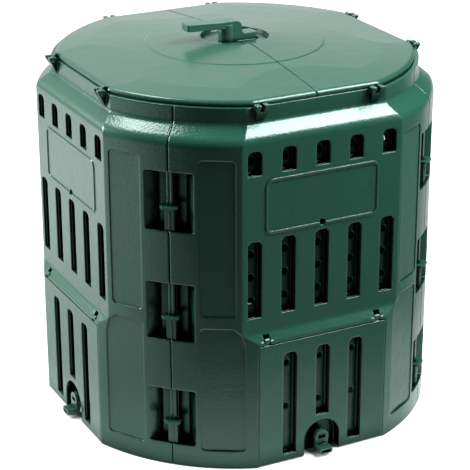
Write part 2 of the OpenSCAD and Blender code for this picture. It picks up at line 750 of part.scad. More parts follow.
// Clip: a channel with lips behind the flanges' heads, and a thumb plate on top
clip_z0 = -recess_h / 2 + slide_gap;
clip_in = flange_head_t + slide_gap;
clip_lip_in = flange_t + slide_gap;
clip_lip_a = flange_face - flange_head_d - slide_gap;
clip_travel = recess_h - clip_h - clip_plate_t - 2 * slide_gap;

module clip() {
  difference() {
    block(-clip_in - clip_t, clip_in + clip_t, clip_lip_a - 3, flange_face + slide_gap + 3.2,
      clip_z0, clip_z0 + clip_h);
    block(-clip_in, clip_in, clip_lip_a, flange_face + slide_gap, clip_z0 - 1, clip_z0 + clip_h + 1);
    block(-clip_lip_in, clip_lip_in, 0, clip_lip_a + 1, clip_z0 - 1, clip_z0 + clip_h + 1);
  }
  // Ridge down the middle of the front
  along(-2, 2) polygon([[flange_face + slide_gap + 3, clip_z0], [flange_face + slide_gap + 4.4, clip_z0 + 2],
    [flange_face + slide_gap + 4.4, clip_z0 + clip_h], [flange_face + slide_gap + 3, clip_z0 + clip_h]]);
  difference() {
    out(clip_lip_a - 1, wall_r + clip_plate_out) translate([-clip_plate_w / 2, clip_z0 + clip_h - 1])
      square([clip_plate_w, clip_plate_t]);
    block(-clip_in, clip_in, 0, flange_face + slide_gap, clip_z0, clip_z0 + clip_h + clip_plate_t);
    for (s = [-1, 1]) translate([s * clip_plate_w / 2, -wall_r - clip_plate_out, 0]) rotate([0, 0, 45])
      cube([9, 9, 2 * far], center = true);
  }
}

// Lid: a revolved crown cut by planes over the four flats
lid_z = rim_z + lid_seat_gap;
lid_a = collar_a - lid_inset;
lid_r = collar_r - lid_corner_inset;
crown_z = lid_z + lid_rim_h + crown_foot;
crown_top = crown_z + crown_h;
crown_slope = crown_h / crown_r;
outer_slope = atan2(crown_foot, lid_r - crown_r);
dish_z = crown_top - dish_d;

// Height of the crown's surface at distance r from the middle
function crown_at(r) = crown_top - r * crown_slope;

// A gabled strip across the lid, with a plane rising from each of two flats
module lid_gable(o) along(-far, far) polygon(concat(
  [[-lid_a + o, lid_z - (o > 0 ? 2 : 1)], [lid_a - o, lid_z - (o > 0 ? 2 : 1)]],
  arc(lid_a - lid_rim_r, lid_z + lid_rim_h - lid_rim_r, lid_rim_r - o, 0, 90 - lid_slope),
  [[0, lid_z + lid_rim_h + (lid_a - lid_rim_r) * tan(lid_slope) - o]],
  arc(-lid_a + lid_rim_r, lid_z + lid_rim_h - lid_rim_r, lid_rim_r - o, 90 + lid_slope, 180)));

crown_edge_r = ring_r + 3;

// The crown's surface from the ring inwards, o below the outside
function crown_line(r, o) = [[crown_edge_r, crown_at(crown_edge_r) - o], [ring_r, crown_at(ring_r) + ring_h - o],
  [r, crown_at(r) + ring_h - o]];

// The lid's form outside the crown's ring, set o inside the outside
module lid_form(o) intersection() {
  rotate_extrude($fn = 180) polygon(concat(
    [[crown_edge_r - (o > eps ? o : 0), lid_z - (o > 0 ? 1 : 0)], [lid_r - o, lid_z - (o > 0 ? 1 : 0)]],
    arc(lid_r - lid_rim_r, lid_z + lid_rim_h - lid_rim_r, lid_rim_r - o, 0, 90 - outer_slope),
    [[crown_r, crown_z - o], [crown_edge_r, crown_at(crown_edge_r) - o],
      [crown_edge_r - (o > eps ? o : 0), crown_at(crown_edge_r) - o]]));
  lid_gable(o);
  rotate([0, 0, 90]) lid_gable(o);
}

// Outline of the handle's foot from above, grown by g, from a little behind the parting line
module foot_outline(g) {
  w = handle_w / 2 + g;
  r = foot_corner_r + g;
  translate([-pivot_x, -w]) square([pivot_x + foot_reach + g - r, 2 * w]);
  translate([-pivot_x, -w + r]) square([pivot_x + foot_reach + g, 2 * w - 2 * r]);
  for (s = [-1, 1]) translate([foot_reach + g - r, s * (w - r)]) circle(r, $fn = 48);
}

// A slab on each side of the parting line, for the stiffening flanges
module flange_slab() translate([-lid_gap / 2 - lid_t, -far, lid_z]) cube([lid_gap + 2 * lid_t, 2 * far, far]);

// The part of the lid on the side of s, clear of the parting line
module half_space(s) translate([s > 0 ? lid_gap / 2 : -far, -far, 0]) cube([far - lid_gap / 2, 2 * far, 2 * far]);

// Both lid halves outside the crown's ring as one shell, with a flange along the parting line
module lid_shell() {
  difference() {
    lid_form(0);
    lid_form(lid_t);
  }
  intersection() {
    lid_form(eps);
    difference() {
      flange_slab();
      translate([0, 0, -lid_flange_d]) lid_form(lid_t);
    }
  }
}

// The crown of both halves, from the ring to the round recess
module crown_shell() intersection() {
  union() {
    rotate_extrude($fn = 180) polygon(concat(crown_line(dish_r, 0), backwards(crown_line(dish_r, lid_t))));
    intersection() {
      rotate_extrude($fn = 180) polygon(concat(crown_line(dish_r + lid_t, eps),
        backwards(crown_line(dish_r + lid_t, lid_t + lid_flange_d))));
      flange_slab();
    }
  }
  lid_gable(0);
  rotate([0, 0, 90]) lid_gable(0);
}

// The round recess of both halves: a floor, and a wall up to the crown's underside
module dish_cup() rotate_extrude($fn = 180) polygon([[0, dish_z - lid_t], [dish_r + lid_t, dish_z - lid_t],
  [dish_r + lid_t, crown_at(dish_r + lid_t) + ring_h - lid_t], [dish_r, crown_at(dish_r) + ring_h - lid_t],
  [dish_r, dish_z], [0, dish_z]]);

module ear(u) translate([u, 0, 0]) along(-ear_w / 2, ear_w / 2) {
  translate([lid_axis_a, lid_axis_z]) circle(ear_r);
  polygon([[lid_a - lid_t, lid_z + 1.4], [collar_a + 1.2, lid_z + 1.4], [lid_axis_a - ear_r + 0.2, lid_axis_z + 1],
    [lid_axis_a + ear_r, lid_axis_z], [lid_axis_a + ear_r - 1, lid_axis_z + 4], [lid_a + 1, lid_z + lid_rim_h + 2],
    [lid_a - lid_t, lid_z + lid_rim_h]]);
}

// One half of the lid, on the side of s, with its two ears
module lid_half(s) {
  intersection() {
    lid_shell();
    half_space(s);
  }
  rotate([0, 0, 90 * s]) for (e = [-1, 1]) difference() {
    ear(e * lid_hinge_u);
    translate([0, -lid_axis_a, lid_axis_z]) rotate([0, 90, 0])
      cylinder(r = lid_pin_d / 2 + run_fit, h = 2 * far, center = true);
  }
}

module crown_half(s) intersection() {
  crown_shell();
  half_space(s);
}

// Half of the round recess: the right one has a notch, and the left one a tongue under the handle's foot
module dish_half(s) {
  difference() {
    intersection() {
      dish_cup();
      half_space(s);
    }
    if (s > 0) translate([0, 0, dish_z - lid_t - 1]) linear_extrude(far) foot_outline(foot_gap);
    if (s < 0) translate([-pivot_x, 0, 0]) cylinder(r = stud_d / 2 + run_fit, h = 2 * far);
  }
  if (s < 0) translate([0, 0, dish_z - lid_t]) linear_extrude(lid_t) difference() {
    foot_outline(0);
    translate([-far - lid_gap, -far]) square([far, 2 * far]);
  }
}

module lid_pins(s) rotate([0, 0, 90 * s]) for (e = [-1, 1])
  translate([e * lid_hinge_u, -lid_axis_a, lid_axis_z]) rotate([0, 90, 0])
    cylinder(d = lid_pin_d, h = bracket_w - 4, center = true);

// Handle: a hollow arm, an S-bend and a foot, on a hub with a pivot stud
hub_z = dish_z + slide_gap;
arm_z = dish_z + arm_rise;
foot_z = hub_z + foot_t;
bend_r = 14;
bend_x = -4;

module handle_profile() polygon(concat(
  [[-pivot_x - arm_len, arm_z + arm_lift - arm_t + 1], [-pivot_x - arm_len, arm_z + arm_lift - 1],
    [-pivot_x - arm_len + 1.5, arm_z + arm_lift], [-pivot_x - hub_r, arm_z]],
  arc(bend_x, arm_z - bend_r, bend_r, 90, 0, 8),
  arc(bend_x + bend_r + 8, foot_z + 8, 8, 180, 270, 6),
  [[foot_reach - 1, foot_z], [foot_reach, foot_z - 1], [foot_reach, hub_z], [-pivot_x, hub_z],
    [-pivot_x, arm_z - arm_t], [-pivot_x - arm_len + 8, arm_z + arm_lift - arm_t]]));

module handle() difference() {
  union() {
    intersection() {
      translate([0, handle_w / 2, 0]) rotate([90, 0, 0]) linear_extrude(handle_w) handle_profile();
      linear_extrude(2 * far) union() {
        foot_outline(0);
        translate([-pivot_x - arm_len, -handle_w / 2 + 4]) square([arm_len + 1, handle_w - 8]);
        translate([-pivot_x - arm_len + 4, -handle_w / 2]) square([arm_len, handle_w]);
        for (s = [-1, 1]) translate([-pivot_x - arm_len + 4, s * (handle_w / 2 - 4)]) circle(4, $fn = 48);
      }
    }
    translate([-pivot_x, 0, hub_z]) cylinder(r = hub_r, h = arm_z - arm_t / 2 - hub_z);
    translate([-pivot_x, 0, dish_z - lid_t - slide_gap]) cylinder(d = stud_d, h = lid_t + 2);
  }
  // Hollow underside of the arm
  intersection() {
    translate([0, handle_w / 2 - 3, -3]) rotate([90, 0, 0]) linear_extrude(handle_w - 6) handle_profile();
    translate([-pivot_x - arm_len + 3, -far, 0]) cube([arm_len - hub_r - 4, 2 * far, 2 * far]);
  }
  translate([-pivot_x, 0, dish_z - lid_t - 2]) cylinder(r = screw_d / 2 + hold_fit, h = 22);
}

washer_t = 2;
washer_z = dish_z - lid_t - slide_gap - washer_t;

module handle_washer() translate([-pivot_x, 0, washer_z]) difference() {
  cylinder(d = stud_d + 12, h = washer_t);
  translate([0, 0, -1]) cylinder(d = screw_d + 0.4, h = washer_t + 2);
}

module handle_screw() translate([-pivot_x, 0, washer_z]) {
  translate([0, 0, -3]) cylinder(d = 10, h = 3);
  translate([0, 0, -eps]) cylinder(d = screw_d, h = 18);
}

// Placing: a side's piece turns with its panel, and a clip stands on its seam and recess
module on_side(i) rotate([0, 0, side_turn[i]]) children();
module at_seam(i, level) rotate([0, 0, seam_turn[i]]) translate([0, 0, recess_z[level]]) children();

module wall(i) color(green) on_side(i) wall_panel();
module vents(i) color(light_green) on_side(i) vent_pockets();
module sill(i) color(light_green) on_side(i) hatch_sill();
module hatch(i) color(light_green) on_side(i) hatch_panel();
module hatch_vents(i) color(green) on_side(i) hatch_pockets();
module pins(i) color(steel) on_side(i) hatch_pins();
module side_latch(i) color(green) on_side(i) latch();
module side_cam(i) color(light_green) on_side(i) cam();
module side_cam_screw(i) color(steel) on_side(i) cam_screw();
module seam_clip(i, level) color(light_green) at_seam(i, level) clip();
module half(s) color(light_green) lid_half(s);
module crown(s) color(light_green) crown_half(s);
module dish(s) color(green) dish_half(s);
module half_pins(s) color(steel) lid_pins(s);

wall(0);  // wall_front
wall(1);  // wall_right
wall(2);  // wall_back
wall(3);  // wall_left
vents(0);  // vents_front
vents(1);  // vents_right
vents(2);  // vents_back
vents(3);  // vents_left
sill(0);  // sill_front
sill(1);  // sill_right
sill(2);  // sill_back
sill(3);  // sill_left
hatch(0);  // hatch_front
hatch(1);  // hatch_right
hatch(2);  // hatch_back
hatch(3);  // hatch_left
hatch_vents(0);  // hatch_vents_front
hatch_vents(1);  // hatch_vents_right
hatch_vents(2);  // hatch_vents_back
hatch_vents(3);  // hatch_vents_left
pins(0);  // hatch_pins_front
pins(1);  // hatch_pins_right
pins(2);  // hatch_pins_back
pins(3);  // hatch_pins_left
side_latch(0);  // latch_front
side_latch(1);  // latch_right
side_latch(2);  // latch_back
side_latch(3);  // latch_left
side_cam(0);  // cam_front
side_cam(1);  // cam_right
side_cam(2);  // cam_back
side_cam(3);  // cam_left
side_cam_screw(0);  // cam_screw_front
side_cam_screw(1);  // cam_screw_right
side_cam_screw(2);  // cam_screw_back
side_cam_screw(3);  // cam_screw_left
seam_clip(0, 0);  // clip_front_right_low
seam_clip(0, 1);  // clip_front_right_mid
seam_clip(0, 2);  // clip_front_right_top
seam_clip(1, 0);  // clip_back_right_low
seam_clip(1, 1);  // clip_back_right_mid
seam_clip(1, 2);  // clip_back_right_top
seam_clip(2, 0);  // clip_back_left_low
seam_clip(2, 1);  // clip_back_left_mid
seam_clip(2, 2);  // clip_back_left_top
seam_clip(3, 0);  // clip_front_left_low
seam_clip(3, 1);  // clip_front_left_mid
seam_clip(3, 2);  // clip_front_left_top
half(-1);  // lid_left
half(1);  // lid_right
crown(-1);  // crown_left
crown(1);  // crown_right
dish(-1);  // dish_left
dish(1);  // dish_right
half_pins(-1);  // lid_pins_left
half_pins(1);  // lid_pins_right
color(light_green) handle();
color(steel) handle_washer();
color(steel) handle_screw();
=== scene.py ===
"""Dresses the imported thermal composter: moulded plastic and steel finishes, soft studio light and camera."""

import logging
import math
from dataclasses import dataclass, field
from enum import Enum

import bmesh
import bpy
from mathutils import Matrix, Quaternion, Vector

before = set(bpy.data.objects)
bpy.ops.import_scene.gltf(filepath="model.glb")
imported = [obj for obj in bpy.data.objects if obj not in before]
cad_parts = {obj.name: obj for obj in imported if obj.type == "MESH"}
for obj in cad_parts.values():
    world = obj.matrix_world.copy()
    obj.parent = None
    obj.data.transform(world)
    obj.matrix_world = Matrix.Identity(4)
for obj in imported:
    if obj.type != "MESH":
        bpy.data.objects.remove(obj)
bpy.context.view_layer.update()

LOG = logging.getLogger("composter")
Colour = tuple[float, float, float, float]
Place = tuple[float, float, float]
Span = tuple[float, float]
WHITE: Colour = (1.0, 1.0, 1.0, 1.0)


class Side(Enum):
    """The four sides of the bin, by their words in node names."""

    FRONT = "front"
    RIGHT = "right"
    BACK = "back"
    LEFT = "left"


class Half(Enum):
    """The two halves of the lid, by their words in node names."""

    LEFT = "left"
    RIGHT = "right"


class Seam(Enum):
    """The corner seams between two wall panels, by their words in node names."""

    FRONT_RIGHT = "front_right"
    BACK_RIGHT = "back_right"
    BACK_LEFT = "back_left"
    FRONT_LEFT = "front_left"


class Level(Enum):
    """The levels at which clips hold a seam, by their words in node names."""

    LOW = "low"
    MID = "mid"
    TOP = "top"


class Grade(Enum):
    """How strongly a moulded face shows its orange peel."""

    SMOOTH = 0.35
    LID = 0.4
    SKIN = 1.0


def linear(r: int, g: int, b: int) -> Colour:
    """An sRGB colour in bytes as linear light.

    Args:
        r: red, 0 to 255.
        g: green, 0 to 255.
        b: blue, 0 to 255.

    Returns:
        The colour as linear red, green and blue, and alpha 1.
    """
    def one(v: int) -> float:
        """One channel as linear light."""
        c = v / 255
        return c / 12.92 if c <= 0.04045 else ((c + 0.055) / 1.055) ** 2.4
    return one(r), one(g), one(b), 1.0


def scaled(colour: Colour, factor: float) -> Colour:
    """A colour made lighter or darker.

    Args:
        colour: the colour.
        factor: what its red, green and blue are multiplied by.

    Returns:
        The new colour, with alpha 1.
    """
    r, g, b, _ = colour
    return r * factor, g * factor, b * factor, 1.0


def socket(group: bpy.types.ShaderNodeTree, name: str, kind: str, value: float | None = None) -> None:
    """Adds a named socket to a node group.

    Args:
        group: the node group.
        name: the socket's name.
        kind: the socket's type, such as NodeSocketFloat.
        value: an input's default, or None for an output.
    """
    side = "OUTPUT" if value is None else "INPUT"
    made = group.interface.new_socket(name=name, in_out=side, socket_type=kind)
    if value is not None:
        made.default_value = value


@dataclass(frozen=True)
class Graph:
    """A node tree, with short ways to add what the finishes and the studio need.

    Attributes:
        tree: the node tree.
    """

    tree: bpy.types.NodeTree

    def feed(self, target: bpy.types.NodeSocket, value: object) -> None:
        """Links or sets an input.

        Args:
            target: the input.
            value: the output that it takes its value from, or a plain value.
        """
        if isinstance(value, bpy.types.NodeSocket):
            self.tree.links.new(value, target)
        else:
            target.default_value = value

    def fill(self, made: bpy.types.Node, inputs: dict[str | int, object]) -> bpy.types.Node:
        """Links or sets several inputs of a node.

        Args:
            made: the node.
            inputs: what each input gets, by its name or number.

        Returns:
            The node.
        """
        for key, value in inputs.items():
            self.feed(made.inputs[key], value)
        return made

    def node(self, kind: str, inputs: dict[str | int, object] | None = None) -> bpy.types.Node:
        """Adds a node.

        Args:
            kind: the node's type.
            inputs: what its inputs get, by name or number.

        Returns:
            The node.
        """
        return self.fill(self.tree.nodes.new(kind), inputs or {})

    def group(self, shared: bpy.types.ShaderNodeTree, inputs: dict[str | int, object]) -> bpy.types.Node:
        """Adds a shared node group.

        Args:
            shared: the group.
            inputs: what its inputs get, by name.

        Returns:
            The node that holds the group.
        """
        made = self.tree.nodes.new("ShaderNodeGroup")
        made.node_tree = shared
        return self.fill(made, inputs)

    def math(self, operation: str, first: object, second: object = 0.0) -> bpy.types.NodeSocket:
        """Adds a sum on two values.

        Args:
            operation: the name of the operation.
            first: the first value, plain or an output.
            second: the second value, which some operations leave unused.

        Returns:
            The output with the result.
        """
        made = self.tree.nodes.new("ShaderNodeMath")
        made.operation = operation
        return self.fill(made, {0: first, 1: second}).outputs[0]

    def vector(self, operation: str, first: object, second: object = (0.0, 0.0, 0.0)) -> bpy.types.Node:
        """Adds a sum on two vectors.

        Args:
            operation: the name of the operation.
            first: the first vector, plain or an output.
            second: the second vector, which some operations leave unused.

        Returns:
            The node.
        """
        made = self.tree.nodes.new("ShaderNodeVectorMath")
        made.operation = operation
        return self.fill(made, {0: first, 1: second})

    def ramp(self, value: bpy.types.NodeSocket, span: Span, to: Span = (0.0, 1.0),
             soft: bool = False) -> bpy.types.NodeSocket:
        """Adds a ramp that stays level outside its span.

        Args:
            value: the value that runs through the span.
            span: where the ramp starts and ends.
            to: the results at its start and end.
            soft: True for a ramp that starts and ends gently.

        Returns:
            The output with the result.
        """
        made = self.tree.nodes.new("ShaderNodeMapRange")
        made.interpolation_type = "SMOOTHSTEP" if soft else "LINEAR"
        return self.fill(made, {"Value": value, "From Min": span[0], "From Max": span[1],
                                "To Min": to[0], "To Max": to[1]}).outputs["Result"]

    def mix(self, factor: object, first: object, second: object) -> bpy.types.NodeSocket:
        """Adds a mix of two colours.

        Args:
            factor: how much of the second colour there is.
            first: the first colour, plain or an output.
            second: the second colour, plain or an output.

        Returns:
            The output with the colour.
        """
        made = self.tree.nodes.new("ShaderNodeMix")
        made.data_type = "RGBA"
        return self.fill(made, {"Factor": factor, "A": first, "B": second}).outputs["Result"]


@dataclass
class ShaderGroups:
    """The node groups that the finishes share, each built once.

    Attributes:
        peel_octaves: the octaves of the orange peel.
        peel_gain: how strong each next octave of the orange peel is.
        wave_size: the noise scale of the broad waves, per metre.
        wave_octaves: the octaves of the broad waves.
        edge_samples: the samples that round an edge.
        edge_turn: the turns of the normal, as a cosine, at which the mask of the edges starts and is full.
        shade_samples: the samples that tell how open a face is.
        shade_open: how open a face is where the mask of the open faces starts and is full.
    """

    peel_octaves: float = 2.0
    peel_gain: float = 0.45
    wave_size: float = 24.0
    wave_octaves: float = 2.0
    edge_samples: int = 8
    edge_turn: Span = (0.995, 0.80)
    shade_samples: int = 8
    shade_open: Span = (0.35, 0.9)

    def __post_init__(self) -> None:
        """Builds every group."""
        self.peel = self._peel()
        self.edges = self._edges()
        self.shade = self._shade()

    @staticmethod
    def _start(name: str) -> tuple[Graph, bpy.types.Node, bpy.types.Node]:
        """A new group with its input and output nodes.

        Args:
            name: the group's name.

        Returns:
            The graph of the group, its input node and its output node.
        """
        graph = Graph(bpy.data.node_groups.new(name, "ShaderNodeTree"))
        return graph, graph.node("NodeGroupInput"), graph.node("NodeGroupOutput")

    def _peel(self) -> bpy.types.ShaderNodeTree:
        """The height of a moulded skin: a fine orange peel on broad, shallow waves.

        Returns:
            The group.
        """
        graph, ins, outs = self._start("MouldedPeel")
        socket(graph.tree, "Size", "NodeSocketFloat", 200.0)
        socket(graph.tree, "Strength", "NodeSocketFloat", 1.0)
        socket(graph.tree, "Waves", "NodeSocketFloat", 0.0)
        socket(graph.tree, "Height", "NodeSocketFloat")
        place = graph.node("ShaderNodeTexCoord").outputs["Object"]
        fine = graph.node("ShaderNodeTexNoise", {
            "Vector": place, "Scale": ins.outputs["Size"],
            "Detail": self.peel_octaves, "Roughness": self.peel_gain})
        broad = graph.node("ShaderNodeTexNoise", {
            "Vector": place, "Scale": self.wave_size, "Detail": self.wave_octaves})
        peel = graph.math("MULTIPLY", fine.outputs["Fac"], ins.outputs["Strength"])
        waves = graph.math("MULTIPLY", broad.outputs["Fac"], ins.outputs["Waves"])
        graph.feed(outs.inputs["Height"], graph.math("ADD", peel, waves))
        return graph.tree

    def _edges(self) -> bpy.types.ShaderNodeTree:
        """Moulded edges: a rounded normal, and a mask that is 1 on outer and inner edges.

        Returns:
            The group.
        """
        graph, ins, outs = self._start("MouldedEdges")
        socket(graph.tree, "Radius", "NodeSocketFloat", 0.002)
        socket(graph.tree, "Normal", "NodeSocketVector")
        socket(graph.tree, "Mask", "NodeSocketFloat")
        bevel = graph.node("ShaderNodeBevel", {"Radius": ins.outputs["Radius"]})
        bevel.samples = self.edge_samples
        rounded = bevel.outputs["Normal"]
        plain = graph.node("ShaderNodeNewGeometry").outputs["Normal"]
        turn = graph.vector("DOT_PRODUCT", rounded, plain).outputs["Value"]
        graph.feed(outs.inputs["Normal"], rounded)
        graph.feed(outs.inputs["Mask"], graph.ramp(turn, self.edge_turn))
        return graph.tree

    def _shade(self) -> bpy.types.ShaderNodeTree:
        """Where light comes in: a mask that is 1 on open faces and 0 far inside a pocket, which places the
        painted shade of pockets.

        Returns:
            The group.
        """
        graph, ins, outs = self._start("OpenFaces")
        socket(graph.tree, "Reach", "NodeSocketFloat", 0.05)
        socket(graph.tree, "Open", "NodeSocketFloat")
        near = graph.node("ShaderNodeAmbientOcclusion", {"Distance": ins.outputs["Reach"]})
        near.samples = self.shade_samples
        graph.feed(outs.inputs["Open"], graph.ramp(near.outputs["AO"], self.shade_open))
        return graph.tree


@dataclass(frozen=True)
class MouldedPlastic:
    """A glossy moulded plastic with a fine orange peel, a painted highlight along its edges and painted shade
    in its pockets.

    Attributes:
        name: the material's name.
        tone: its colour.
        painted_shade: the painted shade, a near-black colour that the plastic takes where little light comes
            in, in pockets and gaps.
        roughness: the roughness of its skin.
        peel: the strength of its orange peel.
        peel_size: the noise scale of the peel, per metre.
        waves: the strength of the broad waves under the peel.
        bump: how much the peel and the waves turn the light.
        depth: the height of the peel, in metres.
        edge: the rounding of its moulded edges, in metres.
        reach: how far the shade of a pocket reaches, in metres.
        shine: the colour of its reflections seen straight on.
        edge_highlight: how much of the painted highlight its edges get.
        highlight_gain: how much lighter than its colour the painted highlight on an edge is.
        flush_r: the radius of a ring round the bin's centre line on which edges stay sharp, or 0 for none.
        flush_band: how far off that ring the rounding starts and is full, in roundings.
    """

    name: str
    tone: Colour
    painted_shade: Colour
    roughness: float = 0.22
    peel: float = Grade.SKIN.value
    peel_size: float = 200.0
    waves: float = 1.6
    bump: float = 0.8
    depth: float = 0.0005
    edge: float = 0.0045
    reach: float = 0.06
    shine: Colour = (0.82, 1.0, 0.97, 1.0)
    edge_highlight: float = 0.6
    highlight_gain: float = 1.7
    flush_r: float = 0.0
    flush_band: Span = (1.2, 2.4)

    def material(self, groups: ShaderGroups) -> bpy.types.Material:
        """Builds the material.

        Args:
            groups: the shared node groups.

        Returns:
            The material.
        """
        made = bpy.data.materials.new(self.name)
        made.use_nodes = True
        graph = Graph(made.node_tree)
        edges = graph.group(groups.edges, {"Radius": self.rounding(graph)})
        open_face = graph.group(groups.shade, {"Reach": self.reach}).outputs["Open"]
        peel = graph.group(groups.peel, {
            "Size": self.peel_size, "Strength": self.peel, "Waves": self.waves})
        bump = graph.node("ShaderNodeBump", {
            "Strength": self.bump, "Distance": self.depth,
            "Height": peel.outputs["Height"], "Normal": edges.outputs["Normal"]})
        # Painted highlight: the base colour is lightened along every edge, where rounded edges would catch
        # light.
        painted_highlight = graph.math("MULTIPLY", edges.outputs["Mask"], self.edge_highlight)
        face = graph.mix(painted_highlight, self.tone, scaled(self.tone, self.highlight_gain))
        # Painted shade on reflections: where the pocket mask is low, the plastic turns metallic with its
        # near-black colour, so pockets lose their reflections; edges keep theirs.
        glossy = graph.math("MAXIMUM", open_face, edges.outputs["Mask"])
        # Painted shade: the base colour turns to the shade colour far inside pockets, where the occlusion mask
        # is low.
        graph.fill(made.node_tree.nodes["Principled BSDF"], {
            "Base Color": graph.mix(open_face, self.painted_shade, face),
            "Metallic": graph.math("SUBTRACT", 1.0, glossy),
            "Roughness": self.roughness,
            "Specular Tint": self.shine,
            "Normal": bump.outputs["Normal"]})
        return made

    def rounding(self, graph: Graph) -> float | bpy.types.NodeSocket:
        """The rounding of the edges, which is 0 on a ring where two mouldings meet flush.

        Args:
            graph: the material's graph.

        Returns:
            The rounding in metres, or the output that carries it.
        """
        if self.flush_r <= 0.0:
            return self.edge
        place = graph.node("ShaderNodeTexCoord").outputs["Object"]
        level = graph.vector("MULTIPLY", place, (1.0, 1.0, 0.0)).outputs["Vector"]
        radius = graph.vector("LENGTH", level).outputs["Value"]
        off = graph.math("ABSOLUTE", graph.math("SUBTRACT", radius, self.flush_r))
        start, full = self.flush_band
        return graph.ramp(off, (start * self.edge, full * self.edge), (0.0, self.edge))


@dataclass(frozen=True)
class PlainSteel:
    """Galvanised steel of pins and screws.

    Attributes:
        name: the material's name.
        tone: its colour.
        grain: the noise scale of its grain, per metre.
        dull: how dark its dull spots are.
        roughness: its least and greatest roughness.
    """

    name: str
    tone: Colour
    grain: float = 900.0
    dull: float = 0.72
    roughness: Span = (0.30, 0.50)

    def material(self, groups: ShaderGroups) -> bpy.types.Material:
        """Builds the material.

        Args:
            groups: the shared node groups.

        Returns:
            The material.
        """
        made = bpy.data.materials.new(self.name)
        made.use_nodes = True
        graph = Graph(made.node_tree)
        grain = graph.group(groups.peel, {"Size": self.grain}).outputs["Height"]
        graph.fill(made.node_tree.nodes["Principled BSDF"], {
            "Base Color": graph.mix(grain, self.tone, scaled(self.tone, self.dull)),
            "Metallic": 1.0,
            "Roughness": graph.ramp(grain, (0.0, 1.0), self.roughness)})
        return made


@dataclass
class Finishes:
    """Every finish of the bin, and the materials made from them.

    Attributes:
        groups: the node groups that the finishes share.
        body: the plastic of the panels and hatches.
        lid: the plastic of the lid, whose crown meets it flush on a ring.
        fitting: the plastic of latches, cams and clips.
        grip: the plastic of the lid's handle.
        steel: the steel of pins and screws.
    """

    groups: ShaderGroups = field(default_factory=ShaderGroups)
    # The second colour of each plastic is its painted shade for pockets.
    body: MouldedPlastic = MouldedPlastic("GreenSkin", linear(34, 82, 66), linear(2, 6, 5))
    lid: MouldedPlastic = MouldedPlastic(
        "GreenLid", linear(40, 80, 66), linear(3, 9, 7),
        peel=Grade.LID.value, edge=0.006, reach=0.03, edge_highlight=0.2, flush_r=0.189)
    fitting: MouldedPlastic = MouldedPlastic(
        "GreenFitting", linear(32, 76, 60), linear(3, 8, 6), roughness=0.27,
        peel=Grade.SMOOTH.value, edge=0.0012, reach=0.012)
    grip: MouldedPlastic = MouldedPlastic(
        "GreenGrip", linear(46, 88, 76), linear(6, 14, 11), roughness=0.3,
        peel=Grade.SMOOTH.value, edge=0.002, reach=0.015, edge_highlight=0.2)
    steel: PlainSteel = PlainSteel("PinSteel", (0.55, 0.56, 0.57, 1.0))

    def __post_init__(self) -> None:
        """Builds the materials."""
        self.skin = self.body.material(self.groups)
        self.cover = self.lid.material(self.groups)
        self.trim = self.fitting.material(self.groups)
        self.hold = self.grip.material(self.groups)
        self.metal = self.steel.material(self.groups)


def dress(node: str, material: bpy.types.Material) -> None:
    """Gives a carried-over CAD node its material.

    Args:
        node: the node's name.
        material: the material.
    """
    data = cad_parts[node].data
    data.materials.clear()
    data.materials.append(material)
    LOG.info("dressed %s with %s", node, material.name)


@dataclass
class Shell:
    """The four wall panels with their vent pockets and sills, and the hinge pins that stay on them.

    Attributes:
        finishes: the bin's finishes.
        mouldings: the nodes of one panel, by the first word of their names.
    """

    finishes: Finishes
    mouldings: tuple[str, ...] = ("wall", "vents", "sill")

    def dress(self) -> None:
        """Dresses the panels and the pins."""
        for side in Side:
            for moulding in self.mouldings:
                dress(f"{moulding}_{side.value}", self.finishes.skin)
            dress(f"hatch_pins_{side.value}", self.finishes.metal)
        for half in Half:
            dress(f"lid_pins_{half.value}", self.finishes.metal)


@dataclass
class Hatches:
    """The four hatches with their latches.

    Attributes:
        finishes: the bin's finishes.
    """

    finishes: Finishes

    def dress(self) -> None:
        """Dresses each hatch, its vent pockets, knob, cam and screw."""
        for side in Side:
            dress(f"hatch_{side.value}", self.finishes.skin)
            dress(f"hatch_vents_{side.value}", self.finishes.skin)
            dress(f"latch_{side.value}", self.finishes.trim)
            dress(f"cam_{side.value}", self.finishes.trim)
            dress(f"cam_screw_{side.value}", self.finishes.metal)


@dataclass
class Clips:
    """The joining clips on the corner seams.

    Attributes:
        finishes: the bin's finishes.
    """

    finishes: Finishes

    def dress(self) -> None:
        """Dresses every clip."""
        for seam in Seam:
            for level in Level:
                dress(f"clip_{seam.value}_{level.value}", self.finishes.trim)


@dataclass
class Lid:
    """The lid's halves and its handle.

    Attributes:
        finishes: the bin's finishes.
        mouldings: the nodes of one half, by the first word of their names.
    """

    finishes: Finishes
    mouldings: tuple[str, ...] = ("lid", "crown", "dish")

    def dress(self) -> None:
        """Dresses the halves, the handle, its washer and its screw."""
        for half in Half:
            for moulding in self.mouldings:
                dress(f"{moulding}_{half.value}", self.finishes.cover)
        dress("handle", self.finishes.hold)
        dress("handle_washer", self.finishes.metal)
        dress("handle_screw", self.finishes.metal)


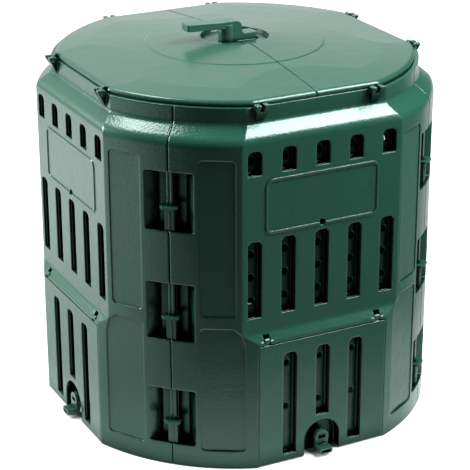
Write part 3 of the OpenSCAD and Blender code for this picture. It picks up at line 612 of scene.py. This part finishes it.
@dataclass(frozen=True)
class View:
    """The camera, at the photograph's place.

    Attributes:
        azimuth: its turn round the bin, in degrees.
        elevation: its height above the horizon, in degrees.
        roll: its roll, in degrees.
        target: the point it looks at.
        distance: its distance from that point.
        lens: its focal length in millimetres.
        sensor: the width of its sensor in millimetres.
        clip: the nearest and farthest distance that it shows.
    """

    azimuth: float = -27.12
    elevation: float = 22.07
    roll: float = -0.12
    target: Place = (0.0, 0.0, 0.34626)
    distance: float = 3.86489
    lens: float = 134.94
    sensor: float = 36.0
    clip: Span = (0.05, 60.0)

    def build(self) -> None:
        """Makes the camera and sets it as the scene's."""
        a, e = math.radians(self.azimuth), math.radians(self.elevation)
        back = Vector((math.sin(a) * math.cos(e), -math.cos(a) * math.cos(e), math.sin(e)))
        data = bpy.data.cameras.new("Camera")
        data.lens, data.sensor_width = self.lens, self.sensor
        data.clip_start, data.clip_end = self.clip
        made = bpy.data.objects.new("Camera", data)
        made.location = Vector(self.target) + back * self.distance
        made.rotation_mode = "QUATERNION"
        aim = (-back).to_track_quat("-Z", "Y")
        made.rotation_quaternion = aim @ Quaternion((0, 0, 1), math.radians(self.roll))
        bpy.context.scene.collection.objects.link(made)
        bpy.context.scene.camera = made


@dataclass(frozen=True)
class Softbox:
    """A square lamp that faces the bin.

    Attributes:
        name: its name.
        at: its place.
        size: its width and height, in metres.
        power: its power in watts.
        target: the point it faces.
    """

    name: str
    at: Place
    size: float
    power: float
    target: Place = (0.0, 0.0, 0.4)

    def build(self) -> None:
        """Makes the lamp."""
        data = bpy.data.lights.new(self.name, "AREA")
        data.shape = "SQUARE"
        data.size = self.size
        data.energy = self.power
        made = bpy.data.objects.new(self.name, data)
        made.location = self.at
        made.rotation_euler = (Vector(self.target) - Vector(self.at)).to_track_quat("-Z", "Y").to_euler()
        bpy.context.scene.collection.objects.link(made)


@dataclass(frozen=True)
class Backdrop:
    """The floor and the world: white to the camera, and bright to reflections on one side only.

    Attributes:
        fill: the strength of the world's plain light.
        room: how bright the rest of the room is in reflections.
        bright: the direction in which the studio is bright.
        sky_span: where reflections of the world turn from dim to bright, along that direction.
        floor_span: where reflections of the floor turn from dim to bright, along that direction.
        near_ring: the radii between which the bright floor round the bin ends in reflections.
        bounce_ring: the radii between which the pale floor that lights the bin from below ends.
        inside_ring: the radii between which the dark floor inside the bin ends.
        far_ring: the radii between which the floor's glow rises to white.
        floor_glow: what the floor near the bin adds to its own light, for the rays that show it.
        floor_mirror: how much of the floor shows in reflections.
        floor_reach: the floor's half width, in metres.
        floor_drop: how far the floor lies below the bin, in metres.
        floor_roughness: the roughness of the floor.
        dim: the floor's colour where it lights nothing.
        pale: the floor's colour where it shows or lights the bin.
    """

    fill: float = 0.07
    room: float = 0.04
    bright: Place = (-0.35, 0.94, 0.0)
    sky_span: Span = (0.25, 0.65)
    floor_span: Span = (-0.9, 0.6)
    near_ring: Span = (0.55, 1.0)
    bounce_ring: Span = (0.42, 0.62)
    inside_ring: Span = (0.38, 0.43)
    far_ring: Span = (1.2, 3.0)
    floor_glow: float = 0.6
    floor_mirror: float = 0.6
    floor_reach: float = 14.0
    floor_drop: float = 0.0005
    floor_roughness: float = 0.9
    dim: Colour = (0.1, 0.1, 0.1, 1.0)
    pale: Colour = (0.8, 0.8, 0.8, 1.0)

    @staticmethod
    def shown(graph: Graph, mask: bpy.types.NodeSocket) -> bpy.types.NodeSocket:
        """How much of the white background a ray shows: all to the camera, the masked part to the others.

        Args:
            graph: the graph of the floor's material or of the world.
            mask: how bright the studio is there, for reflections and for rays that pass through.

        Returns:
            The output that carries the value.
        """
        path = graph.node("ShaderNodeLightPath").outputs
        other = graph.math("MAXIMUM", path["Is Glossy Ray"], path["Is Transmission Ray"])
        return graph.math("MAXIMUM", path["Is Camera Ray"], graph.math("MULTIPLY", other, mask))

    def toward(self, graph: Graph, place: bpy.types.NodeSocket, span: Span) -> bpy.types.NodeSocket:
        """A soft mask that grows towards the bright side of the studio.

        Args:
            graph: the graph.
            place: the place or direction to measure.
            span: the distances along the bright direction where the mask is dim and where it is 1.

        Returns:
            The output that carries the mask.
        """
        along = graph.vector("DOT_PRODUCT", place, self.bright).outputs["Value"]
        return graph.ramp(along, span, (self.room, 1.0), soft=True)

    @staticmethod
    def ring(graph: Graph, place: bpy.types.NodeSocket, radii: Span) -> bpy.types.NodeSocket:
        """A soft mask that is 1 inside a circle on the floor and 0 outside it.

        Args:
            graph: the graph.
            place: the place to measure.
            radii: the radius up to which the mask is 1, and the one from which it is 0.

        Returns:
            The output that carries the mask.
        """
        radius = graph.vector("LENGTH", place).outputs["Value"]
        return graph.ramp(radius, radii, (1.0, 0.0), soft=True)

    def paper(self) -> bpy.types.Material:
        """The floor's material, which keeps the bin's shadow and is dark inside the bin.

        Returns:
            The material.
        """
        made = bpy.data.materials.new("PaleFloor")
        made.use_nodes = True
        graph = Graph(made.node_tree)
        place = graph.node("ShaderNodeTexCoord").outputs["Object"]
        near = graph.math("MAXIMUM", self.toward(graph, place, self.floor_span),
                          self.ring(graph, place, self.near_ring))
        shown = self.shown(graph, graph.math("MULTIPLY", near, self.floor_mirror))
        lit = graph.math("MAXIMUM", shown, self.ring(graph, place, self.bounce_ring))
        level = graph.ramp(self.ring(graph, place, self.far_ring), (0.0, 1.0), (1.0, self.floor_glow))
        outside = graph.math("SUBTRACT", 1.0, self.ring(graph, place, self.inside_ring))
        glow = graph.math("MULTIPLY", graph.math("MULTIPLY", shown, level), outside)
        graph.fill(made.node_tree.nodes["Principled BSDF"], {
            "Base Color": graph.mix(lit, self.dim, self.pale),
            "Roughness": self.floor_roughness,
            "Specular IOR Level": 0.0,
            "Emission Color": WHITE,
            "Emission Strength": glow})
        return made

    def floor(self) -> None:
        """Makes the wide, pale floor."""
        mesh = bpy.data.meshes.new("Floor")
        made = bpy.data.objects.new("Floor", mesh)
        shape = bmesh.new()
        bmesh.ops.create_grid(shape, x_segments=1, y_segments=1, size=self.floor_reach)
        shape.to_mesh(mesh)
        shape.free()
        made.location.z = -self.floor_drop
        mesh.materials.append(self.paper())
        bpy.context.scene.collection.objects.link(made)

    def world(self) -> None:
        """Fills the world: the white backdrop, and plain light for the bin."""
        world = bpy.data.worlds.new("Studio")
        world.use_nodes = True
        world.node_tree.nodes.clear()
        bpy.context.scene.world = world
        graph = Graph(world.node_tree)
        place = graph.node("ShaderNodeTexCoord").outputs["Generated"]
        shown = self.shown(graph, self.toward(graph, place, self.sky_span))
        back = graph.node("ShaderNodeBackground", {"Color": WHITE, "Strength": shown})
        light = graph.node("ShaderNodeBackground", {"Color": WHITE, "Strength": self.fill})
        diffuse = graph.node("ShaderNodeLightPath").outputs["Is Diffuse Ray"]
        both = graph.node("ShaderNodeMixShader", {
            "Fac": diffuse, 1: back.outputs[0], 2: light.outputs[0]})
        graph.node("ShaderNodeOutputWorld", {"Surface": both.outputs[0]})


@dataclass(frozen=True)
class Studio:
    """The camera, the backdrop and the lamps.

    Attributes:
        view: the camera.
        backdrop: the floor and the world.
        lamps: the lamps.
    """

    view: View = View()
    backdrop: Backdrop = Backdrop()
    lamps: tuple[Softbox, ...] = (
        Softbox("SoftLeft", (-2.3, 1.55, 1.5), 1.2, 130.0),
        Softbox("SoftTop", (-1.05, 0.81, 3.1), 1.0, 62.0),
        Softbox("SoftHigh", (1.27, -1.07, 2.7), 1.25, 135.0),
        Softbox("SoftFront", (2.1, -1.76, 1.6), 1.2, 20.0))

    def build(self) -> None:
        """Builds the whole studio."""
        self.view.build()
        self.backdrop.floor()
        self.backdrop.world()
        for lamp in self.lamps:
            lamp.build()
        bpy.context.scene.view_settings.view_transform = "Standard"
        LOG.info("studio built")


def main() -> None:
    """Builds the studio and dresses every sub-assembly."""
    logging.basicConfig(level=logging.INFO, format="%(name)s: %(message)s")
    Studio().build()
    finishes = Finishes()
    for part in (Shell(finishes), Hatches(finishes), Clips(finishes), Lid(finishes)):
        part.dress()
        LOG.info("%s done", type(part).__name__)


if __name__ == "__main__":
    main()
